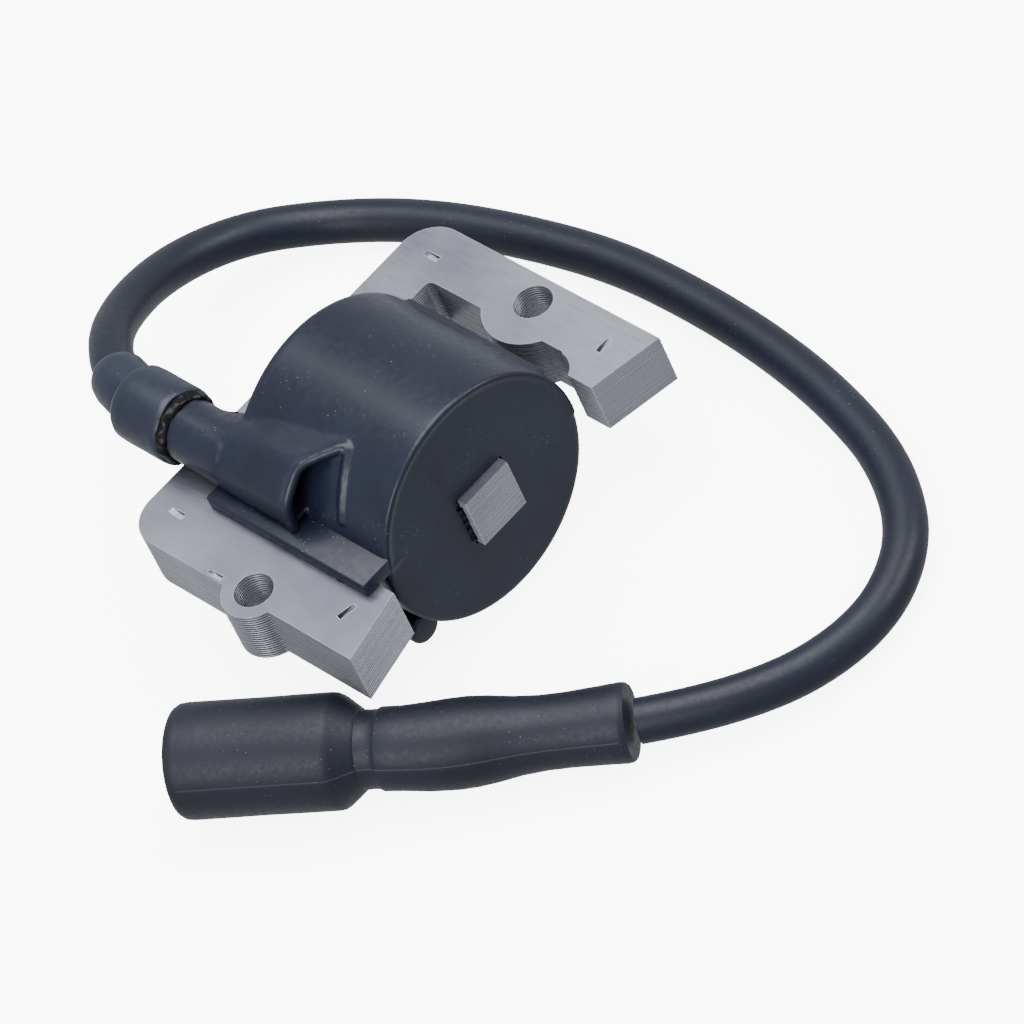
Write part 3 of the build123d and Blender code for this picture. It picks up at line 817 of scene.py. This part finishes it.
cut_away(case, drum("potting_pan", CASE_R - 1.6, CASE_REAR - 0.8, CASE_REAR + 3, CASE_X, CASE_Z))
cut_away(case, block(
    "pole_hole",
    (POLE_X - POLE_HOLE_X / 2, CASE_FRONT - 5, POLE_Z - POLE_HOLE_Z / 2),
    (POLE_X + POLE_HOLE_X / 2, CASE_REAR + 5, POLE_Z + POLE_HOLE_Z / 2),
))
smooth_by_angle(case, 40)
dress(case, "case_plastic")
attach(case, "root")
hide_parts("coil_case")
print("case triangles", sum(len(p.vertices) - 2 for p in case.data.polygons))

# %% [markdown]
# A moulded ledge lies along the -X leg and keeps the drum from turning. It is a plain bar
# with its edges a little rounded. A lower rib does the same under the drum.

# %% Ledge and lower rib
ledge_low, ledge_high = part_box("leg_ledge")


def soft_block(name, low, high, width):
    """A box with rounded edges."""
    piece = block(name, low, high)
    make_active(piece)
    bpy.ops.object.mode_set(mode="EDIT")
    bpy.ops.mesh.select_all(action="SELECT")
    bpy.ops.mesh.bevel(offset=width * MM, segments=3, affect="EDGES")
    bpy.ops.object.mode_set(mode="OBJECT")
    return piece


ledge = soft_block(
    "case_ledge",
    (ledge_low[0] / MM, ledge_low[1] / MM, STACK_TOP + 0.02),
    (-17.0, ledge_high[1] / MM, ledge_high[2] / MM), 0.3)
keep_clear = drum("drum_room", CASE_R - 0.3, CASE_FRONT - 5, CASE_REAR + 5, CASE_X, CASE_Z)
cut_away(ledge, keep_clear)
smooth_by_angle(ledge, 35)
dress(ledge, "case_plastic")
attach(ledge, "root")
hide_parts("leg_ledge")

rib_low, rib_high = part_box("lower_rib")
lower = drum("case_lower_rib", 2.8, rib_low[1] / MM, rib_high[1] / MM, -16.9, -7.1, sides=64)
for station in (rib_low[1], rib_high[1]):
    pick_edges(lower, lambda co, s=station: abs(co.y - s) < 1e-6)
    bpy.ops.mesh.bevel(offset=0.7 * MM, segments=4, affect="EDGES")
    bpy.ops.object.mode_set(mode="OBJECT")
cut_away(lower, drum("drum_room", CASE_R - 0.3, CASE_FRONT - 5, CASE_REAR + 5, CASE_X, CASE_Z))
smooth_by_angle(lower, 35)
dress(lower, "case_plastic")
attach(lower, "root")
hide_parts("lower_rib")
print("ledge faces", len(ledge.data.polygons), "rib faces", len(lower.data.polygons))

# %% [markdown]
# Two sleeves are shrunk over the place where the lead leaves the tower. The big one was cut
# by hand, so its end is not quite square, and black sealant was squeezed out of the cut. A
# tube is turned from a profile, which is a list of places along the axis and radii.

# %% Sleeves
SIDES = 72


def turned(name, profile, frame_at):
    """A closed turned shape: profile rows are (place along, radius); frame_at places rings."""
    rings = []
    for along_mm, radius in profile:
        origin, right, up = frame_at(along_mm)
        rings.append([
            tuple(origin + (right * math.cos(2 * math.pi * i / SIDES)
                            + up * math.sin(2 * math.pi * i / SIDES)) * radius * MM)
            for i in range(SIDES)
        ])
    piece = bridged_rings(name, rings)
    return piece


def straight_axis(start, direction):
    """Frames along a straight axis, for turned()."""
    ahead = Vector(direction).normalized()
    right = ahead.cross(Vector((0, 0, 1))).normalized()
    up = right.cross(ahead)
    return lambda s: (Vector(start) * MM + ahead * s * MM, right, up)


def hollow_out(piece, name, radius, start, end, frame_at):
    """Bore a round hole along the axis."""
    return cut_away(piece, turned(name, [(start, radius), (end, radius)], frame_at))


sleeve_axis = straight_axis((STUB[0], 0.0, STUB[1]), (0, 1, 0))
sleeve = turned("tower_sleeve", [
    (28.4, 5.9), (28.45, 6.15), (28.8, 6.36), (29.6, 6.4), (33.0, 6.38), (37.0, 6.4),
    (38.6, 6.3), (39.3, 5.9), (39.7, 5.3), (39.8, 4.7),
], sleeve_axis)
hollow_out(sleeve, "sleeve_bore", STUB_R + 0.1, 27.0, 30.4, sleeve_axis)
hollow_out(sleeve, "lead_room", LEAD_RADIUS - 0.3, 30.0, 41.0, sleeve_axis)
for corner in sleeve.data.vertices:
    if corner.co.y < 30.0 * MM:
        around = math.atan2(corner.co.z - STUB[1] * MM, corner.co.x - STUB[0] * MM)
        corner.co.y += (0.35 * math.sin(around + 0.6) + 0.15 * math.sin(5 * around)) * MM
smooth_by_angle(sleeve, 40)
dress(sleeve, "sleeve_film")
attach(sleeve, "root")
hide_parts("outer_sleeve")


def curve_axis(points):
    """Frames along the lead's own centreline, for turned(); places are in mm along it."""
    lengths = [0.0]
    for a, b in zip(points, points[1:]):
        lengths.append(lengths[-1] + (b - a).length)

    def at(s):
        k = 1
        while k < len(lengths) - 1 and lengths[k] < s * MM:
            k += 1
        part = (s * MM - lengths[k - 1]) / (lengths[k] - lengths[k - 1])
        ahead = (points[k] - points[k - 1]).normalized()
        right = ahead.cross(Vector((0, 0, 1))).normalized()
        return points[k - 1].lerp(points[k], part), right, right.cross(ahead)

    return at


lead_axis = curve_axis(lead_points)
taper = turned("lead_sleeve", [
    (9.2, 4.75), (11.0, 4.85), (13.0, 4.8), (15.0, 4.85), (16.6, 4.7), (17.4, 4.35), (17.8, 3.9),
    (17.9, 3.65),
], lead_axis)
smooth_by_angle(taper, 50)
dress(taper, "sleeve_film")
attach(taper, "root")
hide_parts("small_sleeve")
print("sleeve faces", len(sleeve.data.polygons), len(taper.data.polygons))

# %% [markdown]
# Sealant that was squeezed out has no fixed shape. A smooth ring is subdivided and its
# points are pushed in and out by a noise, which gives the rough black collar at the cut,
# and the same is done for the smear beside the pole.

# %% Squeezed sealant


def roughen(piece, size, amount, seed):
    """Push every point along its normal by a noise; the same result each run."""
    make_active(piece)
    shift = Vector((seed, seed * 1.7, seed * 2.3))
    mesh = piece.data
    moves = [v.normal * noise.noise(v.co * size + shift) * amount * MM for v in mesh.vertices]
    for corner, move in zip(mesh.vertices, moves):
        corner.co += move
    return piece


collar = turned("sealant_collar", [
    (26.9, 5.15), (27.0, 5.5), (27.3, 5.8), (27.7, 5.98), (28.1, 6.08), (28.5, 6.1), (28.9, 5.9),
    (29.2, 5.3),
], sleeve_axis)
make_active(collar)
bpy.ops.object.mode_set(mode="EDIT")
bpy.ops.mesh.select_all(action="SELECT")
bpy.ops.mesh.subdivide(number_cuts=2)
bpy.ops.object.mode_set(mode="OBJECT")
roughen(collar, 750, 0.30, 3.0)
smooth_by_angle(collar, 60)
smear_line = [
    (POLE_X - 5.0, CASE_FRONT - 0.05, 1.0), (POLE_X - 5.25, CASE_FRONT - 0.08, 3.5),
    (POLE_X - 5.1, CASE_FRONT - 0.05, 6.0), (POLE_X - 5.2, CASE_FRONT - 0.05, 8.6),
]
smear = bead("pole_smear", smear_line, 0.42)
make_active(smear)
bpy.ops.object.mode_set(mode="EDIT")
bpy.ops.mesh.select_all(action="SELECT")
bpy.ops.mesh.subdivide(number_cuts=1)
bpy.ops.object.mode_set(mode="OBJECT")
roughen(smear, 900, 0.35, 8.0)
smooth_by_angle(smear, 60)
for piece in (collar, smear):
    dress(piece, "sealant")
    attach(piece, "root")
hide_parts("sealant_bead")
print("collar faces", len(collar.data.polygons))

# %% [markdown]
# The boot is one rubber moulding: a thick head round the plug, a cone, a short neck, and a
# grip that swells and narrows before the lead goes in. It is turned along a bent axis, and
# the two halves of its mould have left a fine raised line along each side.

# %% Boot axis
BOOT_MOUTH = Vector((-56.7, -0.1, FLOOR + 9.15))
BOOT_SHOULDER = Vector((-42.0, -21.6, FLOOR + 9.2))
head_ahead = (BOOT_SHOULDER - BOOT_MOUTH).normalized()
boot_points = [
    tuple(BOOT_MOUTH),
    tuple(BOOT_MOUTH + head_ahead * 13),
    tuple(BOOT_SHOULDER),
    (-38.6, -26.2, FLOOR + 8.9),
    (-33.6, -33.0, FLOOR + 8.0),
    (-27.6, -39.5, FLOOR + 7.4),
    (-19.9, -48.6, FLOOR + 6.8),
    (-12.6, -57.1, FLOOR + 6.3),
]
boot_curve = nurbs_line("boot_axis", boot_points, 0.0)
boot_line = centreline(boot_curve)
bpy.data.objects.remove(boot_curve)
boot_axis = curve_axis(boot_line)
boot_length = sum((b - a).length for a, b in zip(boot_line, boot_line[1:])) / MM
print("boot length mm", round(boot_length, 1))

# %% Boot body
boot_profile = [
    (0.0, 6.6), (0.0, 8.1), (0.25, 8.6), (0.9, 9.0), (2.0, 9.1), (8.0, 9.08), (14.0, 9.05),
    (20.0, 9.1), (25.4, 9.1), (26.2, 9.0), (26.9, 8.6), (28.2, 7.6), (29.3, 6.75), (29.6, 6.5),
    (29.8, 6.2), (31.2, 6.1), (32.4, 6.15), (32.7, 6.35), (33.0, 6.5), (36.0, 6.55),
    (40.0, 6.85), (44.0, 7.05), (47.0, 7.0), (50.0, 6.7), (54.0, 6.1), (58.0, 5.8),
    (62.0, 5.8), (66.0, 6.0), (69.0, 6.15),
]
tail_end = boot_length - 0.6
boot_profile += [
    (tail_end - 1.2, 6.25), (tail_end - 0.4, 6.15), (tail_end, 5.85), (tail_end, 3.9),
]
boot = turned("plug_boot_rubber", boot_profile, boot_axis)
head_axis = straight_axis(BOOT_MOUTH, head_ahead)
BOOT_BORE_R, BOOT_BORE_L = 6.2, 14.0
CLIP_ROOM_R, CLIP_ROOM_END = 5.2, 24.0
cut_away(boot, turned("mouth_bore", [
    (-1.0, BOOT_BORE_R + 0.5), (0.35, BOOT_BORE_R + 0.45), (0.9, BOOT_BORE_R),
    (BOOT_BORE_L, BOOT_BORE_R),
], head_axis))
hollow_out(boot, "clip_room", CLIP_ROOM_R, BOOT_BORE_L - 0.2, CLIP_ROOM_END, head_axis)
print("boot faces", len(boot.data.polygons))

# %% Boot mould lines
SEAM_R = 0.12
seam_rows = [row for row in boot_profile if 1.5 < row[0] < tail_end - 1.0]
seams = []
for side in (-1, 1):
    seam_path = []
    for place, radius in seam_rows:
        origin, right, up = boot_axis(place)
        out = (right * side * 0.93 + up * 0.37).normalized()
        seam_path.append(tuple((origin + out * (radius - 0.02) * MM) / MM))
    seams.append(bead("boot_seam", seam_path, SEAM_R))
boot = join_pieces([boot] + seams, "plug_boot_rubber")
smooth_by_angle(boot, 42)
dress(boot, "boot_rubber")
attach(boot, "root")
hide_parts("plug_boot")
print("boot faces with seams", len(boot.data.polygons))

# %% [markdown]
# The floor is a plain pale sheet and the light is soft: a big overhead panel, a weaker one
# from the left and an even room. The floor glows, as a lit table does, so that it stays near
# white, and it is kept out of the part's reflections and bounced light, which would veil
# the dark plastics.

# %% Studio
FLOOR_GLOW = 7.0
bpy.ops.mesh.primitive_plane_add(size=6.0, location=(0, 0, FLOOR * MM - 0.0002))
floor = bpy.context.object
floor.name = "studio_floor"
floor_paint = bpy.data.materials.new("floor_paint")
floor_paint.use_nodes = True
floor_shader = floor_paint.node_tree.nodes["Principled BSDF"]
floor_shader.inputs["Base Color"].default_value = (0.95, 0.95, 0.96, 1)
floor_shader.inputs["Roughness"].default_value = 0.9
floor_shader.inputs["Specular IOR Level"].default_value = 0.1
floor_shader.inputs["Emission Color"].default_value = (0.95, 0.97, 1.0, 1)
floor_shader.inputs["Emission Strength"].default_value = FLOOR_GLOW
floor.data.materials.append(floor_paint)
floor.visible_glossy = False
floor.visible_diffuse = False

world = bpy.data.worlds.new("studio_room")
bpy.context.scene.world = world
world.use_nodes = True
world.node_tree.nodes["Background"].inputs["Color"].default_value = (0.93, 0.96, 1.0, 1)
world.node_tree.nodes["Background"].inputs["Strength"].default_value = 1.0


def softbox(name, place, size, power):
    """A square area light at place (metres), aimed at the origin."""
    bpy.ops.object.light_add(type="AREA", location=place)
    lamp = bpy.context.object
    lamp.name = name
    lamp.data.size = size
    lamp.data.energy = power
    aim = -Vector(place)
    lamp.rotation_euler = aim.to_track_quat("-Z", "Y").to_euler()
    return lamp


softbox("overhead_softbox", (0.1, 0.1, 1.0), 0.9, 22.0)
softbox("left_softbox", (-0.9, -0.3, 0.5), 0.6, 10.0)
softbox("right_softbox", (0.8, -0.5, 0.6), 0.5, 8.0)
deselect_all()
